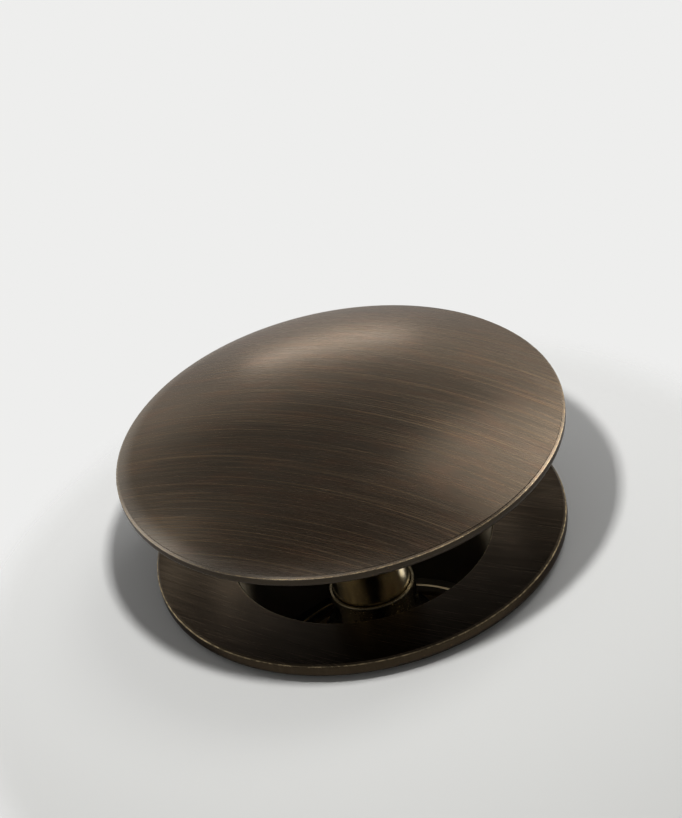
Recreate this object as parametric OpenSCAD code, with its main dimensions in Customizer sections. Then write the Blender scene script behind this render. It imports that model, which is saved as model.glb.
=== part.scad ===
// Pop-up basin waste with a domed cap, shown open.
// The origin is on the axis, on the basin surface that the flange gasket seals against. +Z is up.

/* [Flange and body] */
// Outer diameter of the flange
flange_d = 65; // [62:0.5:72]
// Thickness of the flange at its outer edge
flange_t = 2.4; // [2.2:0.1:4]
// Drop of the flange's top face from its outer edge to the hole
dish = 1.7; // [0.5:0.1:1.9]
// Outside diameter of the body's thread
thread_d = 47.8; // [42:0.1:52]
// Wall between the body's bore and the crests of its thread
body_wall = 3.4; // [3:0.1:4.5]
// Pitch of the body's thread
thread_pitch = 2.309; // [1.8:0.001:3]
// Depth of the body's thread
thread_depth = 1.1; // [0.6:0.05:1.2]
// Length of the body below the basin surface
body_l = 46; // [44:1:60]
// Width of an overflow slot
slot_w = 8; // [5:0.5:10]
// Height of an overflow slot
slot_h = 11; // [10.5:0.5:12]
// Depth of an overflow slot's top edge below the basin surface
slot_depth = 4.5; // [4:0.5:5.5]

/* [Cap] */
// Diameter of the cap
cap_d = 69.8; // [66:0.2:76]
// Height of the dome above the cap's rim
dome_h = 6.9; // [5:0.1:9]
// Height of the cap's rim
rim_h = 1.8; // [1.4:0.1:2.6]
// Thickness of the dome's wall
cap_wall = 1.8; // [1.2:0.1:2.4]
// Height of the open cap's rim above the flange's outer edge
cap_lift = 16.9; // [15:0.1:20]
// Travel of the cap from open to closed
travel = 13; // [9:0.5:14]
// Diameter of the boss under the cap
boss_d = 17; // [14:0.5:22]

/* [Cap seal] */
// Width of the seal's overlap on the flange, outside the hole
seal_overlap = 2.8; // [1.5:0.1:3.2]
// Thickness of the seal
seal_t = 2.8; // [2:0.1:3.5]
// Depth of the groove that holds the seal
seal_bite = 4.6; // [4.5:0.1:6]
// Thickness of the plate's rims above and below the seal
plate_rim = 1.2; // [0.8:0.1:1.6]

/* [Cartridge] */
// Width of the plunger's shoulder round the stud that the cap screws on to
stud_shoulder = 2.2; // [1.5:0.1:3]
// Wall of the sleeve's neck
neck_wall = 0.55; // [0.5:0.05:0.9]
// Length of the sleeve's neck
neck_l = 8; // [5:0.5:10]
// Depth of the neck's rim below the basin surface
neck_depth = 7; // [4:0.5:9]
// Outside diameter of the sleeve's barrel
barrel_d = 18; // [16:0.1:20]
// Room between the plunger and the barrel's bore
barrel_room = 1.3; // [1.2:0.1:2]
// Wall of the sleeve's barrel
barrel_wall = 1.2; // [1:0.1:1.4]
// Wire of the return spring
wire_d = 0.9; // [0.6:0.05:1]
// Turns of the return spring
spring_turns = 8; // [5:1:9]

/* [Spider] */
// Depth of the spider's top face below the basin surface
spider_depth = 24.3; // [22:0.1:28]
// Thickness of the spider
spider_t = 6; // [4:0.5:8]
// Width of an arm of the spider
arm_w = 4; // [3:0.5:6]
// Number of arms
arms = 4; // [3:1:6]
// Wall of the spider's hub
hub_wall = 2.4; // [1.8:0.1:3]

/* [Clamping and outlet] */
// Thickness of the gasket under the flange
gasket_t = 1; // [0.6:0.1:2]
// Thickness of the basin that is clamped
basin_t = 18; // [17.5:0.5:21]
// Thickness of the sealing washer
seal_washer_t = 5; // [3:0.5:6]
// Thickness of the friction washer
slip_washer_t = 1.5; // [1:0.1:2.5]
// Height of the back nut
nut_h = 9; // [7:0.5:10]
// Wall between the back nut's thread and its flats
nut_wall = 6; // [4.5:0.5:9]
// Step between the body's bore and the outside of the outlet pipe
tail_step = 0.5; // [0.4:0.1:1.5]
// Wall of the outlet pipe
tail_wall = 1.7; // [1.2:0.1:2.2]
// Length of the outlet pipe below its collar
tail_l = 29; // [24:1:50]

/* [Hidden] */
$fn = 180;

// Clearances
run_gap = 0.05;     // between a sliding shaft and its bore, on the radius
slip_gap = 0.1;     // between fixed pieces that slide together, on the radius
soft_gap = 0.3;     // round a rubber piece, and between pieces that pass each other
cut = 1;            // how far a cutting shape runs past the surface that it cuts

// Radii
flange_r = flange_d / 2;
thread_r = thread_d / 2;
bore_r = thread_r - body_wall;
cap_r = cap_d / 2;
boss_r = boss_d / 2;
barrel_r = barrel_d / 2;
guide_step = 0.3;   // step in the barrel's bore that the guide ring stands against
lower_bore_r = barrel_r - barrel_wall;
upper_bore_r = lower_bore_r - guide_step;
plunger_r = upper_bore_r - barrel_room;
stud_r = plunger_r - stud_shoulder;
tail_r = bore_r - tail_step;

// Small edges
edge_break = 0.4;   // chamfer of the bright edges on the cap and the flange
edge_round = 0.9;   // rounded lower edge of the cap's rim and of the flange
hole_break = 0.25;  // chamfer of the hole's edge
chamfer = 0.6;      // chamfer of turned ends

// Levels of the flange and the cap
flange_z = gasket_t + flange_t;
hole_z = flange_z - dish;
rim_z = flange_z + cap_lift;
dome_z = rim_z + rim_h;
dome_r = (cap_r * cap_r + dome_h * dome_h) / (2 * dome_h);
dome_centre_z = dome_z + dome_h - dome_r;
rim_land = 2.4;     // width of the flat land under the cap's rim
pad_r = boss_r + 2; // flat pad under the dome, which the boss is brazed to
pad_z = dome_centre_z + sqrt(pow(dome_r - cap_wall, 2) - pad_r * pad_r);

// Levels of the cap's seal, which meets the dished flange when the cap is closed
dish_slope = dish / (flange_r - edge_break - bore_r);
seal_r = bore_r + seal_overlap;
seal_inner_r = seal_r - seal_bite;
plate_lower_r = bore_r - 2 * soft_gap;
plate_upper_r = seal_r - seal_overlap * 0.3;
seal_z = hole_z + dish_slope * seal_overlap + travel + slip_gap;
plate_z = seal_z - plate_rim;
plate_top_z = seal_z + seal_t + plate_rim;
stem_washer_t = 0.8;
plunger_top_z = plate_z - stem_washer_t;
stud_top_z = pad_z - 1.5;

// Levels of the cartridge, from its neck down
neck_z = -neck_depth;
neck_bore_r = plunger_r + run_gap;
neck_r = neck_bore_r + neck_wall;
lip_break = 0.15;   // overhang of the neck's lip, and chamfer of its mouth
lip_r = neck_r + lip_break;
lip_h = 0.7;
barrel_z = neck_z - neck_l;
shoulder_t = 2;
shoulder_z = barrel_z - shoulder_t;
bumper_t = 1.2;
stop_t = 1.2;
stop_z = shoulder_z - bumper_t - run_gap;
plunger_skirt = 4.5;
plunger_head_l = 12;
plunger_z = stop_z - stop_t - plunger_skirt;
tooth_h = 1.2;
rotor_z = plunger_z - soft_gap;
rotor_h = 8;
rotor_seat_z = rotor_z - rotor_h;
rotor_pin_l = 3.5;
guide_z = stop_z - stop_t - travel - soft_gap * 3;
guide_h = 9;
base_z = rotor_seat_z - travel - spring_turns * wire_d - soft_gap * 3;
base_t = 5;
base_pin_l = 2.5;
barrel_end_z = base_z - base_t;
stop_r = upper_bore_r - soft_gap;
rotor_r = plunger_r - 0.3;
spring_r = rotor_r - wire_d / 2 - 0.6;
rotor_pin_r = spring_r - wire_d / 2 - 0.5;

// Levels of the spider and its snap ring
spider_z = -spider_depth;
spider_end_z = spider_z - spider_t;
hub_r = barrel_r + run_gap + hub_wall;
ring_wall = 2.6;
ledge_h = 3;
ledge_w = 1.7;
snap_t = 1.2;
snap_bite = 0.7;
snap_w = 2.5;
snap_gap = 6;
hub_washer_t = 0.5;
collar_t = 1.5;
collar_r = hub_r - 0.4;
jam_h = 5;
jam_af = barrel_d + 3.5;

// Levels below the basin
washer_z = -basin_t;
slip_z = washer_z - seal_washer_t;
nut_z = slip_z - slip_washer_t;
nut_af = thread_d + 2 * nut_wall;
washer_r = thread_r + nut_wall + 2;
gasket_r = flange_r - 2.6;
tail_washer_t = 1;
tail_collar_h = 3;
tail_collar_r = thread_r - 0.9;
tail_insert_l = 8;
tail_z = -body_l - tail_washer_t - tail_collar_h;
tail_end_z = tail_z - tail_l;

// Colours
bronze = [0.36, 0.31, 0.26];
brass = [0.66, 0.52, 0.28];
steel = [0.72, 0.73, 0.74];
rubber = [0.07, 0.07, 0.07];
acetal = [0.86, 0.85, 0.81];
black_acetal = [0.1, 0.1, 0.1];

// Solid ring between two radii and two levels
module ring(inner_r, outer_r, low, high) {
    difference() {
        translate([0, 0, low]) cylinder(r = outer_r, h = high - low);
        translate([0, 0, low - cut]) cylinder(r = inner_r, h = high - low + 2 * cut);
    }
}

// Disc with chamfered edges
module chamfered_disc(r, low, high, edge) {
    rotate_extrude()
        polygon([[0, low], [r - edge, low], [r, low + edge], [r, high - edge], [r - edge, high], [0, high]]);
}

// Hexagonal nut with turned corners and a countersunk bore
module hex_nut(across_flats, bore, low, high, edge) {
    corner_r = across_flats / sqrt(3);
    difference() {
        intersection() {
            translate([0, 0, low]) cylinder(r = corner_r, h = high - low, $fn = 6);
            chamfered_disc(corner_r, low, high, edge);
        }
        translate([0, 0, low - cut]) cylinder(r = bore, h = high - low + 2 * cut);
        translate([0, 0, low]) cylinder(r1 = bore + edge, r2 = bore, h = edge);
        translate([0, 0, high - edge]) cylinder(r1 = bore, r2 = bore + edge, h = edge);
    }
}

// Ring of V notches cut into a tube's end face at level z, opening along dir
module end_teeth(count, r, z, dir) {
    half_w = PI * r / count / 2 * (tooth_h + cut) / tooth_h;
    for (i = [0 : count - 1])
        rotate([0, 0, i * 360 / count]) translate([0, 0, z]) rotate([90, 0, 0])
            linear_extrude(height = r + cut)
                polygon([[-half_w, dir * cut], [0, -dir * tooth_h], [half_w, dir * cut]]);
}

module cap() color(bronze) {
    rotate_extrude() difference() {
        intersection() {
            translate([0, dome_centre_z]) circle(r = dome_r);
            translate([0, rim_z]) square([cap_r, rim_h + dome_h + cut]);
        }
        intersection() {
            translate([0, dome_centre_z]) circle(r = dome_r - cap_wall);
            translate([0, rim_z - cut]) square([cap_r - rim_land, pad_z - rim_z + cut]);
        }
        // rounded lower edge of the rim
        difference() {
            translate([cap_r - edge_round, rim_z - cut]) square([edge_round + cut, edge_round + cut]);
            translate([cap_r - edge_round, rim_z + edge_round]) circle(r = edge_round);
        }
        // bright chamfer where the dome meets the rim
        polygon([[cap_r - edge_break, dome_z + cut], [cap_r - edge_break, dome_z],
            [cap_r, dome_z - edge_break * 0.6], [cap_r + cut, dome_z - edge_break * 0.6],
            [cap_r + cut, dome_z + cut]]);
    }
}

module cap_boss() color(brass) difference() {
    chamfered_disc(boss_r, plate_top_z, pad_z, chamfer);
    translate([0, 0, plate_top_z - cut])
        cylinder(r = stud_r + run_gap, h = stud_top_z - plate_top_z + 0.5 + cut);
}

// Plate with a groove round its edge for the seal
module seal_plate() color(black_acetal) rotate_extrude()
    polygon([
        [stud_r + slip_gap, plate_z], [plate_lower_r - plate_rim / 2, plate_z],
        [plate_lower_r, plate_z + plate_rim / 2], [plate_lower_r, seal_z], [seal_inner_r, seal_z],
        [seal_inner_r, seal_z + seal_t],
        [plate_upper_r, seal_z + seal_t], [plate_upper_r, plate_top_z - plate_rim / 2],
        [plate_upper_r - plate_rim / 2, plate_top_z], [stud_r + slip_gap, plate_top_z]]);

// Rubber ring whose lip closes on the dished flange
module cap_seal() color(rubber) rotate_extrude()
    polygon([
        [seal_inner_r, seal_z], [bore_r - chamfer, seal_z], [seal_r, seal_z],
        [seal_r + 0.4, seal_z + 0.5], [seal_r, seal_z + 1.2], [seal_r - 0.6, seal_z + seal_t],
        [seal_inner_r, seal_z + seal_t]]);

module stem_washer() color(rubber) ring(stud_r + slip_gap, plunger_r - 0.3, plunger_top_z, plate_z);

module plunger() color(brass) difference() {
    rotate_extrude()
        polygon([[0, plunger_z], [plunger_r, plunger_z], [plunger_r, plunger_top_z - chamfer / 2],
            [plunger_r - chamfer / 2, plunger_top_z], [stud_r, plunger_top_z], [stud_r, stud_top_z - chamfer],
            [stud_r - chamfer, stud_top_z], [0, stud_top_z]]);
    // blind bore, the groove of the stop ring and the crown that turns the ratchet
    translate([0, 0, plunger_z - cut])
        cylinder(r = plunger_r - 1.8, h = plunger_top_z - plunger_z - plunger_head_l + cut);
    ring(plunger_r - 0.6, plunger_r + cut, stop_z - stop_t, stop_z);
    end_teeth(6, plunger_r, plunger_z, -1);
}

// Split ring in the plunger's groove, which stops the plunger under the neck
module stop_ring() color(steel) difference() {
    ring(plunger_r - 0.6, stop_r, stop_z - stop_t, stop_z);
    translate([0, -1, stop_z - stop_t - cut]) cube([stop_r + cut, 2, stop_t + 2 * cut]);
}

module bumper_ring() color(rubber) ring(plunger_r + soft_gap, stop_r, shoulder_z - bumper_t, shoulder_z);

// Slim neck with a rolled lip, over a barrel that holds the click mechanism
module cartridge_sleeve() color(brass) difference() {
    union() {
        translate([0, 0, barrel_z - cut]) cylinder(r = neck_r, h = neck_l + cut - lip_h / 2);
        chamfered_disc(lip_r, neck_z - lip_h, neck_z, lip_h / 3);
        chamfered_disc(barrel_r, barrel_end_z, barrel_z, chamfer);
        chamfered_disc(collar_r, spider_z + hub_washer_t, spider_z + hub_washer_t + collar_t, chamfer / 2);
    }
    translate([0, 0, barrel_end_z]) cylinder(r = neck_bore_r, h = neck_z - barrel_end_z + cut);
    translate([0, 0, neck_z - lip_break])
        cylinder(r1 = neck_bore_r, r2 = neck_bore_r + lip_break, h = lip_break);
    translate([0, 0, guide_z - cut]) cylinder(r = upper_bore_r, h = shoulder_z - guide_z + cut);
    translate([0, 0, barrel_end_z - cut]) cylinder(r = lower_bore_r, h = guide_z - barrel_end_z + cut);
    // thread below the hub for the jam nut
    rotate_extrude() for (z = [spider_end_z - jam_h - 2 : 1 : spider_end_z - 0.5])
        polygon([[barrel_r + cut, z + 0.35 + cut * 0.6], [barrel_r - 0.4, z],
            [barrel_r + cut, z - 0.35 - cut * 0.6]]);
}

// Fixed cam ring, pushed up against the step in the barrel
module guide_ring() color(acetal) difference() {
    ring(plunger_r + soft_gap, lower_bore_r - run_gap, guide_z - guide_h, guide_z);
    end_teeth(6, lower_bore_r, guide_z - guide_h, -1);
}

// Indexing rotor that the plunger's crown pushes down and turns
module ratchet_rotor() color(acetal) difference() {
    union() {
        translate([0, 0, rotor_seat_z]) cylinder(r = rotor_r, h = rotor_h);
        translate([0, 0, rotor_seat_z - rotor_pin_l]) cylinder(r = rotor_pin_r, h = rotor_pin_l + cut);
    }
    translate([0, 0, rotor_z - 3]) cylinder(r = rotor_r - 2.2, h = 3 + cut);
    end_teeth(6, rotor_r, rotor_z, 1);
}

// Height of the spring's wire centre after t turns, with a closed turn at each end
spring_l = rotor_seat_z - base_z;
spring_pitch = (spring_l - 3 * wire_d) / (spring_turns - 2);
function spring_level(t) = base_z + wire_d / 2 + (t < 1 ? wire_d * t
    : t > spring_turns - 1 ? spring_l - wire_d - wire_d * (spring_turns - t)
    : wire_d + spring_pitch * (t - 1));

module return_spring() color(steel) {
    steps = 16;
    sides = 8;
    last = spring_turns * steps;
    coil = [for (i = [0 : last], j = [0 : sides - 1])
        let (a = i * 360 / steps, b = j * 360 / sides, r = spring_r + wire_d / 2 * cos(b))
        [r * cos(a), r * sin(a), spring_level(i / steps) + wire_d / 2 * sin(b)]];
    skin = [for (i = [0 : last - 1], j = [0 : sides - 1], half = [0, 1])
        let (a = i * sides + j, b = i * sides + (j + 1) % sides)
        half == 0 ? [a, b, b + sides] : [a, b + sides, a + sides]];
    ends = [[for (j = [sides - 1 : -1 : 0]) j], [for (j = [0 : sides - 1]) last * sides + j]];
    polyhedron(points = coil, faces = concat(skin, ends), convexity = 10);
}

// Screwed plug that carries the spring
module base_plug() color(brass) difference() {
    union() {
        chamfered_disc(lower_bore_r - run_gap, barrel_end_z, base_z, chamfer / 2);
        translate([0, 0, base_z - cut]) cylinder(r = rotor_pin_r, h = base_pin_l + cut);
    }
    translate([-lower_bore_r - cut, -0.8, barrel_end_z - cut])
        cube([2 * (lower_bore_r + cut), 1.6, 1.5 + cut]);
}

module hub_washer() color(rubber) ring(barrel_r + run_gap, collar_r, spider_z, spider_z + hub_washer_t);

module jam_nut() color(brass)
    hex_nut(jam_af, barrel_r + slip_gap, spider_end_z - jam_h, spider_end_z, chamfer / 2);

// Open cross that holds the cartridge in the middle of the bore
module spider() color(brass) {
    ring_r = bore_r - slip_gap;
    ring(ring_r - ring_wall, ring_r, spider_end_z, spider_z);
    ring(barrel_r + run_gap, hub_r, spider_end_z, spider_z);
    for (i = [0 : arms - 1]) rotate([0, 0, (i + 0.5) * 360 / arms])
        translate([hub_r - hub_wall / 2, -arm_w / 2, spider_end_z + 0.5])
            cube([ring_r - ring_wall / 2 - hub_r + hub_wall / 2, arm_w, spider_t - 1.3]);
}

// Split ring in the body's groove, which keeps the spider on its ledge
module snap_ring() color(brass) difference() {
    ring(bore_r + snap_bite - snap_w, bore_r + snap_bite, spider_z, spider_z + snap_t);
    translate([-snap_gap / 2, -bore_r - snap_bite - cut, spider_z - cut])
        cube([snap_gap, snap_w + 2 * cut, snap_t + 2 * cut]);
}

// Overflow slot with round ends, through one side of the body
module overflow_slot() {
    middle_h = slot_h - slot_w;
    low = -slot_depth - slot_h + slot_w / 2;
    for (z = [low, low + middle_h]) translate([0, 0, z]) rotate([-90, 0, 0])
        cylinder(r = slot_w / 2, h = thread_r + cut);
    translate([-slot_w / 2, 0, low]) cube([slot_w, thread_r + cut, middle_h]);
}

module flange_body() color(bronze) difference() {
    rotate_extrude() difference() {
        // dished flange, threaded body and the ledge that the spider stands on
        polygon([[bore_r, hole_z - hole_break], [bore_r + hole_break, hole_z + hole_break * dish_slope],
            [flange_r - edge_break, flange_z], [flange_r, flange_z - edge_break],
            [flange_r, gasket_t], [thread_r, gasket_t], [thread_r, -body_l + thread_depth],
            [thread_r - thread_depth, -body_l], [bore_r, -body_l], [bore_r, spider_end_z - ledge_h - ledge_w],
            [bore_r - ledge_w, spider_end_z - ledge_h], [bore_r - ledge_w, spider_end_z],
            [bore_r, spider_end_z]]);
        // rounded lower edge of the flange
        difference() {
            translate([flange_r - edge_round, gasket_t - cut]) square([edge_round + cut, edge_round + cut]);
            translate([flange_r - edge_round, gasket_t + edge_round]) circle(r = edge_round);
        }
        // groove of the snap ring
        translate([bore_r - cut, spider_z]) square([snap_bite + slip_gap + cut, snap_t + run_gap]);
        // thread
        for (z = [-thread_pitch : -thread_pitch : -body_l + thread_pitch])
            polygon([[thread_r + cut, z + thread_pitch * 0.42 + cut * 0.7],
                [thread_r - thread_depth, z + 0.15], [thread_r - thread_depth, z - 0.15],
                [thread_r + cut, z - thread_pitch * 0.42 - cut * 0.7]]);
    }
    for (side = [-90, 90]) rotate([0, 0, side]) overflow_slot();
}

module flange_gasket() color(rubber) ring(thread_r + soft_gap, gasket_r, 0, gasket_t);

// Tapered rubber washer under the basin
module sealing_washer() color(rubber) rotate_extrude()
    polygon([[thread_r + soft_gap, slip_z], [washer_r, slip_z], [washer_r, washer_z - seal_washer_t * 0.4],
        [washer_r - 2, washer_z], [thread_r + soft_gap + 1, washer_z], [thread_r + soft_gap, washer_z - 1]]);

module slip_washer() color(acetal) ring(thread_r + soft_gap, washer_r - 1, nut_z, slip_z);

module back_nut() color(bronze) hex_nut(nut_af, thread_r + slip_gap, nut_z - nut_h, nut_z, 1);

module tail_washer() color(rubber) ring(bore_r + slip_gap, tail_collar_r, -body_l - tail_washer_t, -body_l);

// Outlet pipe that screws up into the body
module tailpiece() color(bronze) rotate_extrude() {
    inner_r = tail_r - tail_wall;
    insert_top_z = -body_l - tail_washer_t + tail_insert_l;
    insert_r = bore_r - slip_gap;
    polygon([[inner_r, insert_top_z], [insert_r - chamfer, insert_top_z], [insert_r, insert_top_z - chamfer],
        [insert_r, -body_l - tail_washer_t], [tail_collar_r - chamfer / 2, -body_l - tail_washer_t],
        [tail_collar_r, -body_l - tail_washer_t - chamfer / 2], [tail_collar_r, tail_z + chamfer],
        [tail_collar_r - chamfer, tail_z], [tail_r, tail_z], [tail_r, tail_end_z + chamfer],
        [tail_r - chamfer, tail_end_z], [inner_r, tail_end_z]]);
}

cap();
cap_boss();
seal_plate();
cap_seal();
stem_washer();
plunger();
stop_ring();
bumper_ring();
cartridge_sleeve();
guide_ring();
ratchet_rotor();
return_spring();
base_plug();
hub_washer();
jam_nut();
spider();
snap_ring();
flange_body();
flange_gasket();
sealing_washer();
slip_washer();
back_nut();
tail_washer();
tailpiece();
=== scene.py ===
import math
import bmesh
import bpy
from mathutils import Matrix, Quaternion, Vector


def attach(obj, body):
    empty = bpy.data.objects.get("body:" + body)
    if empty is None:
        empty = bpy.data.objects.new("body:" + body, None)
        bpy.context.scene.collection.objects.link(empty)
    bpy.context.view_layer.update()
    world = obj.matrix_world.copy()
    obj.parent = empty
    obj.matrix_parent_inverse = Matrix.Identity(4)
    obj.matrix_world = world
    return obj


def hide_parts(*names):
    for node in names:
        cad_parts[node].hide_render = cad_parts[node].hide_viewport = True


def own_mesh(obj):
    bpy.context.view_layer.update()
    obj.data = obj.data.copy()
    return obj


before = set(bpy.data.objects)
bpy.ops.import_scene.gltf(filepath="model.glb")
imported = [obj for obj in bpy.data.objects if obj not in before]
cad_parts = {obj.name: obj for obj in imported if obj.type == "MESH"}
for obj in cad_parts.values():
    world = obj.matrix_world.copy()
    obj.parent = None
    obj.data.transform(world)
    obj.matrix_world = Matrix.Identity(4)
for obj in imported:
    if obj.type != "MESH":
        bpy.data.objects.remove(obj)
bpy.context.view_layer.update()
mm = 0.001
print("frame loaded:", len(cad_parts), "nodes")

viewpoint = {
    "aim": (1.17, 0.0, 26.62),    # mm, the point in the middle of the picture
    "elevation": 34.545,    # degrees
    "roll": -12.457,
    "distance": 496.9,    # mm
    "lens": 143.58,
    "sensor": 36,
    "nearest": 10,    # mm, where the view begins
}


def addCamera(v):
    tilt = math.radians(v["elevation"])
    roll = math.radians(v["roll"])
    back = Vector((0, -math.cos(tilt), math.sin(tilt)))
    right = Vector((1, 0, 0))
    up = back.cross(right)
    turnedRight = right * math.cos(roll) + up * math.sin(roll)
    turnedUp = up * math.cos(roll) - right * math.sin(roll)
    axes = Matrix((turnedRight, turnedUp, back)).transposed()
    place = (Vector(v["aim"]) + back * v["distance"]) * mm
    camera = bpy.data.objects.new("camera", bpy.data.cameras.new("camera"))
    camera.matrix_world = Matrix.Translation(place) @ axes.to_4x4()
    camera.data.lens = v["lens"]
    camera.data.sensor_width = v["sensor"]
    camera.data.clip_start = v["nearest"] * mm
    bpy.context.scene.collection.objects.link(camera)
    bpy.context.scene.camera = camera


addCamera(viewpoint)
print("camera set")


def linear(r, g, b):
    # sRGB levels of 0 to 255, as a linear colour
    shares = [level / 255 for level in (r, g, b)]
    return tuple(((s + 0.055) / 1.055) ** 2.4 if s > 0.04 else s / 12.92 for s in shares) + (1,)


class Value:
    # a socket that takes part in Python sums
    def __init__(self, graph, socket):
        self.graph = graph
        self.socket = socket

    def maths(self, operation, a, b):
        return self.graph.node("Math", {"operation": operation}, {0: a, 1: b})

    def __add__(self, other):
        return self.maths("ADD", self, other)

    def __radd__(self, other):
        return self.maths("ADD", other, self)

    def __sub__(self, other):
        return self.maths("SUBTRACT", self, other)

    def __rsub__(self, other):
        return self.maths("SUBTRACT", other, self)

    def __mul__(self, other):
        return self.maths("MULTIPLY", self, other)

    def __rmul__(self, other):
        return self.maths("MULTIPLY", other, self)

    def __truediv__(self, other):
        return self.maths("DIVIDE", self, other)

    def __rtruediv__(self, other):
        return self.maths("DIVIDE", other, self)

    def __pow__(self, other):
        return self.maths("POWER", self, other)

    def __rpow__(self, other):
        return self.maths("POWER", other, self)


class Graph:
    # a node tree that is filled from Python
    def __init__(self, tree):
        self.tree = tree

    def node(self, kind, settings, sockets, out=0):
        made = self.tree.nodes.new("ShaderNode" + kind)
        for key, value in settings.items():
            setattr(made, key, value)
        for key, value in sockets.items():
            self.feed(made.inputs[key], value)
        return Value(self, made.outputs[out])

    def feed(self, socket, value):
        if isinstance(value, Value):
            self.tree.links.new(value.socket, socket)
        else:
            socket.default_value = value

    def mix(self, factor, a, b):
        # two colours, which a Mix node takes at its inputs 6 and 7
        return self.node("Mix", {"data_type": "RGBA"}, {0: factor, 6: a, 7: b}, 2)

    def mixLevels(self, factor, a, b):
        return self.node("Mix", {"data_type": "FLOAT"}, {0: factor, 2: a, 3: b})

    def step(self, value, low, high):
        # 0 up to low and 1 from high, smooth between; the other way round where low is above high
        return self.node("MapRange", {"interpolation_type": "SMOOTHSTEP"}, {0: value, 1: low, 2: high})

    def axes(self, vector):
        return [self.node("SeparateXYZ", {}, {0: vector}, i) for i in range(3)]


class Finish(Graph):
    # one material
    def __init__(self, name, plain):
        self.material = bpy.data.materials.new(name)
        self.material.use_nodes = True
        super().__init__(self.material.node_tree)
        self.shader = self.tree.nodes["Principled BSDF"]
        for socket, value in plain.items():
            self.shader.inputs[socket].default_value = value
        self.place = self.node("TexCoord", {}, {}, "Object")
        self.x, self.y, self.z = self.axes(self.place)
        self.radius = (self.x * self.x + self.y * self.y) ** 0.5

    def shade(self, **sockets):
        for key, value in sockets.items():
            self.feed(self.shader.inputs[key.replace("_", " ")], value)

    def stretched(self, turn, sizes):
        # object coordinates turned about Z, counted in features of these sizes in mm
        return self.node("Mapping", {"vector_type": "TEXTURE"}, {
            "Vector": self.place,
            "Rotation": (0, 0, math.radians(turn)),
            "Scale": tuple(s * mm for s in sizes),
        })

    def around(self, along, out, up):
        # turn, radius and height counted in features of these sizes in mm
        turn = self.node("Math", {"operation": "ARCTAN2"}, {0: self.y, 1: self.x})
        arc = 30    # mm of arc to one radian, about the body's radius
        return self.node("CombineXYZ", {}, {
            0: turn * (arc / along),
            1: self.radius / (out * mm),
            2: self.z / (up * mm),
        })

    def noise(self, vector, detail, rough):
        return self.node("TexNoise", {}, {
            "Vector": vector,
            "Scale": 1.0,
            "Detail": detail,
            "Roughness": rough,
        })

    def mottle(self, sizes, detail, rough):
        return self.noise(self.stretched(0, sizes), detail, rough)

    def rings(self, sizes, detail, rough):
        # marks that run round a turned piece
        return self.noise(self.around(*sizes), detail, rough)

    def bump(self, height, strength, depth):
        return self.node("Bump", {}, {"Height": height, "Strength": strength, "Distance": depth * mm})

    def within(self, **edges):
        # mask that rises from the first to the second of two radii, heights or places in X or Y, in mm
        sources = {"radius": self.radius, "level": self.z, "across": self.x, "along": self.y}
        mask = 1.0
        for kind, (start, full) in edges.items():
            mask = self.step(sources[kind], start * mm, full * mm) * mask
        return mask


def dress(finish, *nodes):
    for node in nodes:
        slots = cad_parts[node].data.materials
        slots.clear()
        slots.append(finish.material)


# brushed antique bronze: straight brush lines on the faces, rings round the sides
bronze = {
    "dark": linear(86, 77, 66),
    "middle": linear(112, 100, 86),
    "warm": linear(136, 109, 80),
    "blush": linear(122, 92, 74),
    "scratch": linear(176, 144, 102),
    "worn": linear(202, 181, 142),
    # painted reflection: the pale sheen laid on the left of the cap's rim
    "paintedSheen": linear(190, 182, 170),
    # painted shade: the darker colour of faces that stand upright
    "side": linear(62, 51, 38),
    "patina": linear(40, 33, 23),
    "inside": linear(78, 72, 60),
    "edge": (0.68, 0.66, 0.65, 1),    # tint of the reflection at grazing angles
    "bump": (0.16, 0.02),    # strength, and depth in mm
}
brushMarks = {    # degrees off the brushing, size in mm, detail and roughness of the noise
    "fine": (0, (9, 0.12, 9), 2, 0.6),
    "broad": (0, (20, 0.5, 20), 2, 0.5),
    "blush": (0, (7, 1.8, 7), 3, 0.65),
    "cloud": (0, (30, 14, 20), 3, 0.5),
    "hair": (2, (12, 0.11, 12), 1, 0.4),
    "longHair": (-1, (45, 0.1, 45), 0, 0.4),
    "strayHair": (4, (24, 0.1, 24), 0, 0.4),
}
bronzeMarks = {    # size in mm, detail and roughness of the noise
    "rings": ((4, 0.2, 0.14), 2, 0.5),    # along, out and up
    "rub": ((0.9, 0.4, 0.4), 3, 0.7),    # along, out and up
    "speck": ((0.35, 0.35, 0.35), 1, 0.6),
    "grit": ((0.16, 0.16, 0.16), 1, 0.5),
    "stain": ((6, 6, 9), 3, 0.6),
}
bronzeSteps = {    # the level at which a mark starts, and the one at which it is full
    "side": (0.8, 0.35),    # how far a face looks up or down
    "tone": (0.28, 0.74),
    "blush": (0.42, 0.72),
    "hair": (0.55, 0.7),
    "longHair": (0.64, 0.78),
    "strayHair": (0.7, 0.8),
    "speck": (0.76, 0.8),
    "cleaned": (0.46, 0.66),
    "rub": (0.4, 0.64),
}
bronzeShares = {    # how much of its colour a full mark shows
    "blush": 0.26,
    "hair": 0.28,
    "scratch": 0.2,
    # how much of the painted shade the upright faces show
    "side": 0.8,
    "speck": 0.35,
    # share of the painted reflection on the left of the rim
    "paintedSheen": 0.32,
}
capBronze = {
    "turn": -31,    # degrees, the way of the brushing
    "patina": 0.0,
    "scratches": 1.0,
    "rough": 0.17,
    # painted shade on the side of the cap's rim
    "side": linear(37, 33, 27),
    "paintedSheen": {"radius": (31.8, 34.8), "level": (21.8, 21.9), "across": (14, -26)},    # left of the rim, where a pale sheen is painted as a reflection
    "wear": [    # how much, and where
        (0.25, {"radius": (34.7, 34.76), "level": (21.86, 21.9)}),    # rim
        (0.6, {"radius": (34.7, 34.76), "level": (21.86, 21.9), "along": (-20, -30)}),    # front of the rim, where more of the worn colour is partly wear and partly a painted highlight
    ],
}
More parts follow.
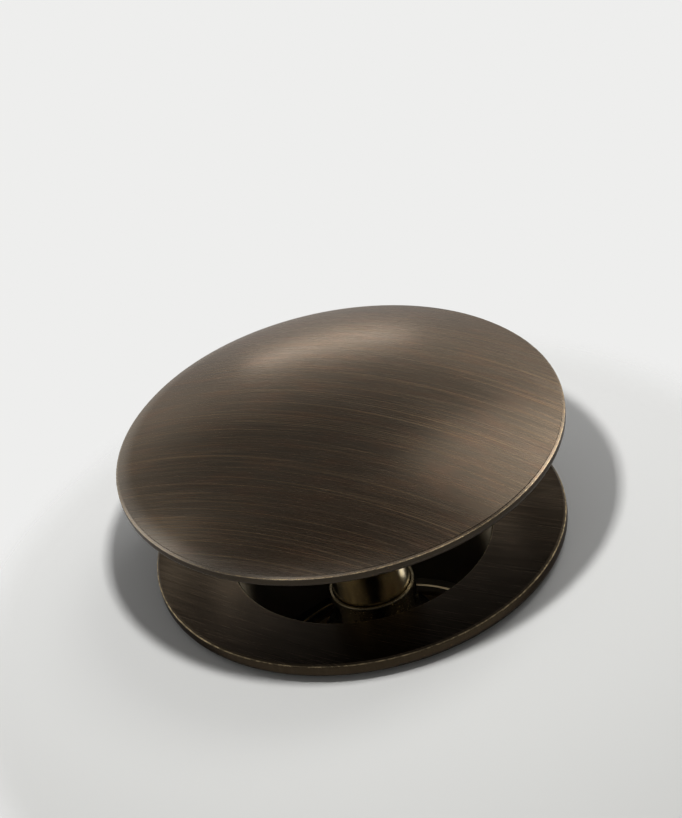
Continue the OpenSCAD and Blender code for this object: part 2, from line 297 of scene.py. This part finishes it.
flangeBronze = {
    "turn": -41,
    "patina": 0.84,
    "scratches": 0.55,
    "rough": 0.13,
    "bore": (20.6, 20.52),    # mm, the radius inside which it is stained
    "wear": [
        (0.75, {"radius": (32.3, 32.36), "level": (3.0, 3.08)}),    # rim of the flange
        (0.18, {"radius": (20.9, 20.8), "level": (1.2, 1.3)}),    # edge of the hole
        (0.22, {"radius": (23.5, 24.0), "level": (-1.4, -1.6)}),    # crests of the thread
    ],
}
nutBronze = {
    "turn": 0,
    "patina": 0.28,
    "scratches": 0.3,
    "rough": 0.24,
    "wear": [
        (0.3, {"radius": (32.8, 34.6)}),
        (0.2, {"radius": (31.5, 33.5), "level": (-25.6, -24.6)}),
    ],
}
pipeBronze = {
    "turn": 0,
    "patina": 0.22,
    "scratches": 0.3,
    "rough": 0.2,
    "bore": (18.4, 18.32),
    "wear": [
        (0.35, {"level": (-78.4, -78.95)}),    # open end
        (0.3, {"radius": (22.5, 22.95), "level": (-49.6, -49.9)}),
    ],
}


def brushedBronze(name, look):
    f = Finish(name, {"Specular Tint": bronze["edge"]})

    def brushed(mark):
        off, sizes, detail, rough = brushMarks[mark]
        return f.noise(f.stretched(look["turn"] + off, sizes), detail, rough)

    def stepped(mark, level):
        return f.step(level, *bronzeSteps[mark])

    broad = brushed("broad")
    cloud = brushed("cloud")
    hair = brushed("hair")
    grit = f.mottle(*bronzeMarks["grit"])
    speck = f.mottle(*bronzeMarks["speck"])

    facing = f.node("TexCoord", {}, {}, "Normal")
    upright = f.node("Math", {"operation": "ABSOLUTE"}, {0: f.axes(facing)[2]})
    side = stepped("side", upright)
    lines = f.mixLevels(side, brushed("fine"), f.rings(*bronzeMarks["rings"]))
    top = (1 - side) * look["scratches"]
    scratched = stepped("longHair", brushed("longHair")) + stepped("strayHair", brushed("strayHair")) * 0.8
    scratched = scratched * top

    tone = cloud * 0.35 + broad * 0.08 + lines * 0.37 + grit * 0.2
    colour = f.mix(stepped("tone", tone), bronze["dark"], bronze["middle"])
    blush = stepped("blush", brushed("blush")) * bronzeShares["blush"] * top
    colour = f.mix(blush, colour, bronze["blush"])
    colour = f.mix(stepped("hair", hair) * bronzeShares["hair"] * top, colour, bronze["warm"])
    colour = f.mix(scratched * bronzeShares["scratch"], colour, bronze["scratch"])
    # upright faces are painted darker: painted shade
    colour = f.mix(side * bronzeShares["side"], colour, look.get("side", bronze["side"]))
    colour = f.mix(stepped("speck", speck) * bronzeShares["speck"], colour, bronze["scratch"])
    # the patina is thinner on the sides, and brushed away along the hairlines
    age = look["patina"] * (1 - side * 0.35) * (1.08 - cloud * 0.1 - stepped("cleaned", hair) * 0.3)
    colour = f.mix(age, colour, bronze["patina"])

    # painted reflection: a pale sheen on the left of the rim
    if "paintedSheen" in look:
        colour = f.mix(f.within(**look["paintedSheen"]) * bronzeShares["paintedSheen"], colour, bronze["paintedSheen"])
    rub = stepped("rub", f.rings(*bronzeMarks["rub"]))
    # worn edges; on the front of the cap's rim this also paints a highlight
    for amount, edge in look["wear"]:
        colour = f.mix(f.within(**edge) * (rub + 0.25) * amount, colour, bronze["worn"])

    rough = look["rough"] + lines * 0.12 + cloud * 0.06 + side * 0.08 + scratched * 0.1
    metal = 1.0
    if "bore" in look:    # stained and dull inside
        inside = f.within(radius=look["bore"])
        stain = f.mottle(*bronzeMarks["stain"])
        colour = f.mix(inside * (0.5 + stain * 0.5), colour, bronze["inside"])
        rough = rough + inside * 0.25
        metal = 1 - inside * 0.75
    relief = f.bump(lines * 0.8 + broad * 0.2, *bronze["bump"])
    f.shade(Base_Color=colour, Roughness=rough, Metallic=metal, Normal=relief)
    return f


dress(brushedBronze("capBronze", capBronze), "cap")
dress(brushedBronze("flangeBronze", flangeBronze), "flange_body")
dress(brushedBronze("nutBronze", nutBronze), "back_nut")
dress(brushedBronze("pipeBronze", pipeBronze), "tailpiece")

polishedBrass = {
    "dull": linear(94, 84, 62),
    "clean": linear(144, 130, 99),
    "worn": linear(216, 198, 158),
    "rough": 0.12,
}
# the plunger's brass painted much darker: painted shade deep in the bore, under the lip
shadedSleeveBrass = {
    "dull": linear(40, 35, 25),
    "clean": linear(62, 55, 40),
    "worn": linear(216, 198, 158),
    "rough": 0.16,
    "lip": (-7.16, -7.06),    # mm, the height that is rubbed bright
}
castBrass = {
    "dull": linear(112, 92, 60),
    "clean": linear(150, 124, 82),
    "worn": linear(190, 164, 112),
    "rough": 0.34,
}
brassMarks = {    # size in mm, detail and roughness of the noise
    "rings": ((6, 0.25, 0.12), 2, 0.5),    # along, out and up
    "stain": ((5, 5, 7), 3, 0.55),
    "tarnish": ((1.2, 1.2, 2.4), 3, 0.6),
    "speck": ((0.3, 0.3, 0.3), 1, 0.5),
}
brassSteps = {    # the level at which a mark starts, and the one at which it is full
    "clean": (0.36, 0.68),
    "speck": (0.7, 0.76),
}
brassBump = (0.12, 0.01)    # strength, and depth in mm


def turnedBrass(name, look):
    f = Finish(name, {"Metallic": 1.0})
    rings = f.rings(*brassMarks["rings"])
    stain = f.mottle(*brassMarks["stain"])
    tarnish = f.mottle(*brassMarks["tarnish"])
    speck = f.mottle(*brassMarks["speck"])
    clean = f.step(stain * 0.6 + tarnish * 0.4, *brassSteps["clean"])
    colour = f.mix(clean, look["dull"], look["clean"])
    colour = f.mix(f.step(speck, *brassSteps["speck"]) * 0.6, colour, look["worn"])
    if "lip" in look:
        colour = f.mix(f.within(level=look["lip"]) * (0.15 + tarnish * 0.7), colour, look["worn"])
    rough = look["rough"] + stain * 0.12 + rings * 0.05 + tarnish * 0.06
    f.shade(Base_Color=colour, Roughness=rough, Normal=f.bump(rings, *brassBump))
    return f


dress(turnedBrass("polishedBrass", polishedBrass), "plunger")
dress(turnedBrass("shadedSleeveBrass", shadedSleeveBrass), "cartridge_sleeve")
dress(turnedBrass("castBrass", castBrass), "cap_boss", "base_plug", "jam_nut", "spider")

rubber = {
    "clean": linear(27, 27, 28),
    "bloom": linear(46, 45, 44),
    "bloomed": (0.4, 0.72),    # the level at which the bloom starts, and the one at which it is full
    "rough": 0.6,
    "bump": (0.2, 0.03),    # strength, and depth in mm
}
rubberMarks = {    # size in mm, detail and roughness of the noise
    "grain": ((0.3, 0.3, 0.3), 3, 0.6),
    "bloom": ((6, 6, 6), 3, 0.5),
    "flash": ((9, 0.5, 0.35), 2, 0.5),    # along, out and up
}


def blackRubber(name, look):
    f = Finish(name, {"Metallic": 0.0})
    grain = f.mottle(*rubberMarks["grain"])
    bloom = f.mottle(*rubberMarks["bloom"])
    flash = f.rings(*rubberMarks["flash"])
    colour = f.mix(f.step(bloom * 0.7 + flash * 0.3, *look["bloomed"]), look["clean"], look["bloom"])
    f.shade(Base_Color=colour, Roughness=look["rough"] + bloom * 0.2, Normal=f.bump(grain, *look["bump"]))
    return f


dress(blackRubber("blackRubber", rubber), "cap_seal", "stem_washer", "bumper_ring", "hub_washer",
      "flange_gasket", "sealing_washer", "tail_washer")

paleAcetal = {
    "low": linear(220, 217, 205),
    "high": linear(238, 236, 228),
    "rough": 0.36,
}
blackAcetal = {
    "low": linear(26, 26, 27),
    "high": linear(38, 37, 37),
    "rough": 0.4,
}
acetalMarks = {    # size in mm, detail and roughness of the noise
    "skin": ((0.25, 0.25, 0.25), 2, 0.5),
    "flow": ((9, 9, 9), 2, 0.5),
    "rings": ((8, 0.3, 0.3), 2, 0.5),    # along, out and up
}
acetalStep = (0.35, 0.65)    # the levels that are all low and all high
acetalBump = (0.08, 0.02)    # strength, and depth in mm


def mouldedAcetal(name, look):
    f = Finish(name, {"Metallic": 0.0})
    skin = f.mottle(*acetalMarks["skin"])
    flow = f.mottle(*acetalMarks["flow"])
    rings = f.rings(*acetalMarks["rings"])
    colour = f.mix(f.step(flow * 0.6 + rings * 0.4, *acetalStep), look["low"], look["high"])
    relief = f.bump(skin + rings, *acetalBump)
    f.shade(Base_Color=colour, Roughness=look["rough"] + flow * 0.12, Normal=relief)
    return f


dress(mouldedAcetal("offWhiteAcetal", paleAcetal), "guide_ring", "ratchet_rotor", "slip_washer")
dress(mouldedAcetal("blackAcetal", blackAcetal), "seal_plate")

steel = {
    "dull": linear(168, 168, 168),
    "bright": linear(206, 206, 205),
    "rough": 0.24,
    "metal": 1.0,
}
ringSteel = {
    "dull": linear(36, 32, 25),
    "bright": linear(46, 41, 33),
    "rough": 0.4,
    "metal": 0.3,
    # colour of the painted highlight line on the edge
    "worn": linear(214, 192, 152),
    "edge": {"radius": (19.1, 19.0), "level": (-23.2, -23.12)},    # inner edge of the top, with a painted highlight line
}
steelMarks = {    # size in mm, detail and roughness of the noise
    "drawn": ((5, 0.12, 0.12), 2, 0.5),    # along, out and up
    "stain": ((3, 3, 3), 2, 0.5),
}
steelStep = (0.35, 0.65)    # the levels that are all dull and all bright
steelBump = (0.1, 0.01)    # strength, and depth in mm


def springSteel(name, look):
    f = Finish(name, {"Metallic": look["metal"]})
    drawn = f.rings(*steelMarks["drawn"])
    stain = f.mottle(*steelMarks["stain"])
    colour = f.mix(f.step(stain, *steelStep), look["dull"], look["bright"])
    # a painted highlight line where the look names one
    if "edge" in look:
        colour = f.mix(f.within(**look["edge"]), colour, look["worn"])
    f.shade(Base_Color=colour, Roughness=look["rough"] + drawn * 0.14, Normal=f.bump(drawn, *steelBump))
    return f


steelFinish = springSteel("springSteel", steel)
dress(steelFinish, "stop_ring", "return_spring")
dress(springSteel("ringSteel", ringSteel), "snap_ring")
print("finishes on")


def addMesh(name, bm):
    mesh = bpy.data.meshes.new(name)
    bm.to_mesh(mesh)
    bm.free()
    piece = bpy.data.objects.new(name, mesh)
    bpy.context.scene.collection.objects.link(piece)
    return piece


spring = {
    "wire": 0.9,    # mm, as are the radius and heights
    "radius": 4.85,
    "low": -53.35,
    "high": -32.25,
    "turns": 8,
    "closedTurns": 1,    # at each end
    "stepsPerTurn": 32,
    "sides": 12,
    "weld": 1e-6,    # m, points nearer than this are one
    "pressed": 0.38,    # share of its length that is left when the cap is down
}


def coilSpring(s):
    bm = bmesh.new()
    stand = Matrix.Translation((s["radius"] * mm, 0, (s["low"] + s["wire"] / 2) * mm))
    stand = stand @ Matrix.Rotation(math.pi / 2, 4, "X")
    ring = bmesh.ops.create_circle(
        bm, segments=s["sides"], radius=s["wire"] / 2 * mm, cap_ends=True, matrix=stand,
    )
    geom = list({f for v in ring["verts"] for f in v.link_faces})
    closed = s["closedTurns"]
    closedEnd = (closed, closed * s["wire"])    # turns, and how far they climb
    rise = s["high"] - s["low"] - s["wire"] - 2 * closed * s["wire"]
    for turns, climb in (closedEnd, (s["turns"] - 2 * closed, rise), closedEnd):
        steps = turns * s["stepsPerTurn"]
        made = bmesh.ops.spin(
            bm, geom=geom, cent=(0, 0, 0), axis=(0, 0, 1), dvec=(0, 0, climb * mm / steps),
            angle=turns * 2 * math.pi, steps=steps, use_merge=False, use_duplicate=False,
        )
        geom = made["geom_last"]
    bmesh.ops.remove_doubles(bm, verts=bm.verts, dist=s["weld"])
    bmesh.ops.recalc_face_normals(bm, faces=bm.faces)
    for face in bm.faces:
        face.smooth = True
    return addMesh("coil_spring", bm)


coil = coilSpring(spring)
coil.data.materials.append(steelFinish.material)
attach(coil, "waste")
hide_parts("return_spring")
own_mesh(coil)
print("spring wound:", len(coil.data.polygons), "faces")

floorLook = {
    "level": -0.02,    # mm, as are the next four
    "hole": 24.6,
    "middle": (2, -20),
    "reach": (72, 80),
    "shading": (-80, 56),    # where the front's colour ends, and where the back's is full: painted shade, darker at the front and lighter at the back
    "front": linear(229, 229, 226),
    "back": linear(252, 252, 250),
    "fade": (0.99, 0.84),    # shares of the reach where it is gone, and where it is solid
    "rough": 0.85,
    "shine": 0.2,
    "segments": 128,
}


def addFloor(look):
    middle = [place * mm for place in look["middle"]]
    reach = [length * mm for length in look["reach"]]
    bm = bmesh.new()
    bmesh.ops.create_circle(bm, segments=look["segments"], radius=look["hole"] * mm)
    outer = bmesh.ops.create_circle(bm, segments=look["segments"], radius=mm)
    bmesh.ops.scale(bm, vec=(*look["reach"], 1), verts=outer["verts"])
    bmesh.ops.translate(bm, vec=(*middle, 0), verts=outer["verts"])
    bmesh.ops.translate(bm, vec=(0, 0, look["level"] * mm), verts=bm.verts)
    bmesh.ops.bridge_loops(bm, edges=bm.edges)
    bmesh.ops.recalc_face_normals(bm, faces=bm.faces)
    if bm.faces[:][0].normal.z < 0:
        bmesh.ops.reverse_faces(bm, faces=bm.faces)
    floor = addMesh("floor", bm)
    f = Finish("paleFloor", {"Roughness": look["rough"], "Specular IOR Level": look["shine"]})
    across = (f.x - middle[0]) / reach[0]
    away = (f.y - middle[1]) / reach[1]
    outward = (across * across + away * away) ** 0.5
    under = f.node("NewGeometry", {}, {}, "Backfacing")
    # painted shade: the floor is darker towards the front and lighter towards the back
    colour = f.mix(f.step(f.y, *(place * mm for place in look["shading"])), look["front"], look["back"])
    f.shade(Base_Color=colour, Alpha=f.step(outward, *look["fade"]) * (1 - under))
    floor.data.materials.append(f.material)


addFloor(floorLook)
print("floor laid")

lampAim = (0, 0, 10)    # mm, where a lamp looks that names no aim of its own
lamps = {    # places and sizes in mm, roll and spread in degrees
    "floorLamp": {
        "at": (-5, -48.8, 137), "size": (12, 12), "watts": 6.0, "lights": "floor",
        "even": True,    # as strong far away as near
    },
    "rightLamp": {
        "at": (300, 190, 600), "size": (320, 320), "watts": 0.75, "lights": "floor",
    },
    "rightSoftbox": {
        "at": (490, 440, 705), "size": (560, 540), "watts": 1.15, "lights": "metal",
    },
    "rightStrip": {
        "at": (640, 510, 560), "size": (620, 110), "watts": 1.5, "lights": "metal", "roll": -40,
    },
    "overheadStrip": {
        "at": (0, -80, 1000), "size": (900, 150), "watts": 0.7, "lights": "metal",
    },
    "leftSoftbox": {
        "at": (-550, 390, 460), "size": (300, 420), "watts": 0.4, "lights": "metal", "only": "cap",
    },
    "backSoftbox": {
        "at": (250, 900, 430), "size": (900, 480), "watts": 0.26, "lights": "metal", "only": "cap",
    },
    "backWindow": {
        "at": (12, 830, 190), "size": (240, 60), "watts": 0.25, "lights": "metal", "only": "cap",
    },
    "frontStripLeft": {
        "at": (-600, -650, 60), "aim": (0, 0, -20), "size": (150, 700), "watts": 0.8, "lights": "metal",
    },
    "frontStripRight": {
        "at": (800, -350, 60), "aim": (0, 0, -20), "size": (110, 700), "watts": 0.5, "lights": "metal",
    },
    "boreLampLeft": {
        "at": (-7, 14, 11), "aim": (-15, -6, -12), "size": (4, 4), "watts": 0.0065, "lights": "floor",
        "spread": 50,
    },
    "boreLampRight": {
        "at": (7, 14, 11), "aim": (15, -5, -12), "size": (4, 4), "watts": 0.004, "lights": "floor",
        "spread": 50,
    },
    "ringLamp": {
        "at": (6, 4, -8), "aim": (9, 17, -24), "size": (4, 4), "watts": 2.6e-4, "lights": "floor",
        "only": "snap_ring", "spread": 70,
    },
    "postLamp": {
        "at": (12, -1.6, -6.2), "aim": (5, -3.7, -1), "size": (3, 6), "watts": 2.4e-4, "lights": "metal",
        "only": "plunger",
    },
    "dishLampLeft": {
        "at": (-20, 26, 19), "aim": (-26, -11, 2.6), "size": (18, 12), "watts": 9.5e-5, "lights": "metal",
        "only": "flange_body", "spread": 44,
    },
    "dishLampRight": {
        "at": (20, 26, 19), "aim": (27, -10, 2.6), "size": (18, 12), "watts": 4.8e-5, "lights": "metal",
        "only": "flange_body", "spread": 44,
    },
}


def addLamp(name, lamp):
    data = bpy.data.lights.new(name, "AREA")
    data.shape = "RECTANGLE"
    data.size, data.size_y = (side * mm for side in lamp["size"])
    data.energy = lamp["watts"]
    data.spread = math.radians(lamp.get("spread", 180))
    if "even" in lamp:
        data.use_nodes = True
        g = Graph(data.node_tree)
        steady = g.node("LightFalloff", {}, {0: 1.0}, "Constant")
        g.feed(data.node_tree.nodes["Emission"].inputs["Strength"], steady)
    light = bpy.data.objects.new(name, data)
    at = Vector(lamp["at"]) * mm
    aim = Vector(lamp.get("aim", lampAim)) * mm
    roll = Quaternion((0, 0, 1), math.radians(lamp.get("roll", 0)))
    light.location = at
    light.rotation_euler = ((at - aim).to_track_quat("Z", "Y") @ roll).to_euler()
    light.visible_camera = False
    light.visible_diffuse = lamp["lights"] == "floor"    # dull surfaces
    light.visible_glossy = lamp["lights"] == "metal"
    if "only" in lamp:
        lit = bpy.data.collections.new(name)
        lit.objects.link(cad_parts[lamp["only"]])
        light.light_linking.receiver_collection = lit
    bpy.context.scene.collection.objects.link(light)


backdrop = {    # heights are shares of the way straight up
    "pale": linear(238, 238, 237),
    "low": (0.6, 0.2),    # heights above and below which metal shows none and all of the pale backdrop
    "near": 0.55,    # how much of it shows on the camera's side
    "far": (-0.6, 0.2),    # from the camera's side to the far side
    "below": (0.8, 0.8, 0.8, 1),    # this and the room light the dull surfaces
    "room": (0.205, 0.205, 0.205, 1),
    "horizon": (-0.25, 0.0),    # heights between which one turns into the other
    "ceiling": (0.212, 0.21, 0.21, 1),    # this and the zenith show overhead in the metal
    "zenith": (0.106, 0.089, 0.079, 1),
    "overhead": (0.75, 0.98),
}


def addBackdrop(look):
    world = bpy.data.worlds.new("studio")
    bpy.context.scene.world = world
    world.use_nodes = True
    g = Graph(world.node_tree)
    away, height = g.axes(g.node("TexCoord", {}, {}, "Generated"))[1:]
    kinds = ("Camera", "Glossy", "Transmission")
    camera, glossy, through = (g.node("LightPath", {}, {}, "Is %s Ray" % kind) for kind in kinds)
    mirrored = glossy + through
    # metal shows the pale backdrop low down, and the greyer room on the camera's side
    share = look["near"] + g.step(away, *look["far"]) * (1 - look["near"])
    seen = camera + mirrored * g.step(height, *look["low"]) * share
    overhead = g.mix(g.step(height, *look["overhead"]), look["ceiling"], look["zenith"])
    around = g.mix(g.step(height, *look["horizon"]), look["below"], look["room"])
    level = g.mix(mirrored, around, overhead)
    g.feed(world.node_tree.nodes["Background"].inputs["Color"], g.mix(seen, level, look["pale"]))


for lampName, lamp in lamps.items():
    addLamp(lampName, lamp)
addBackdrop(backdrop)
bpy.context.scene.view_settings.view_transform = "Standard"
print("lights on:", len(lamps))
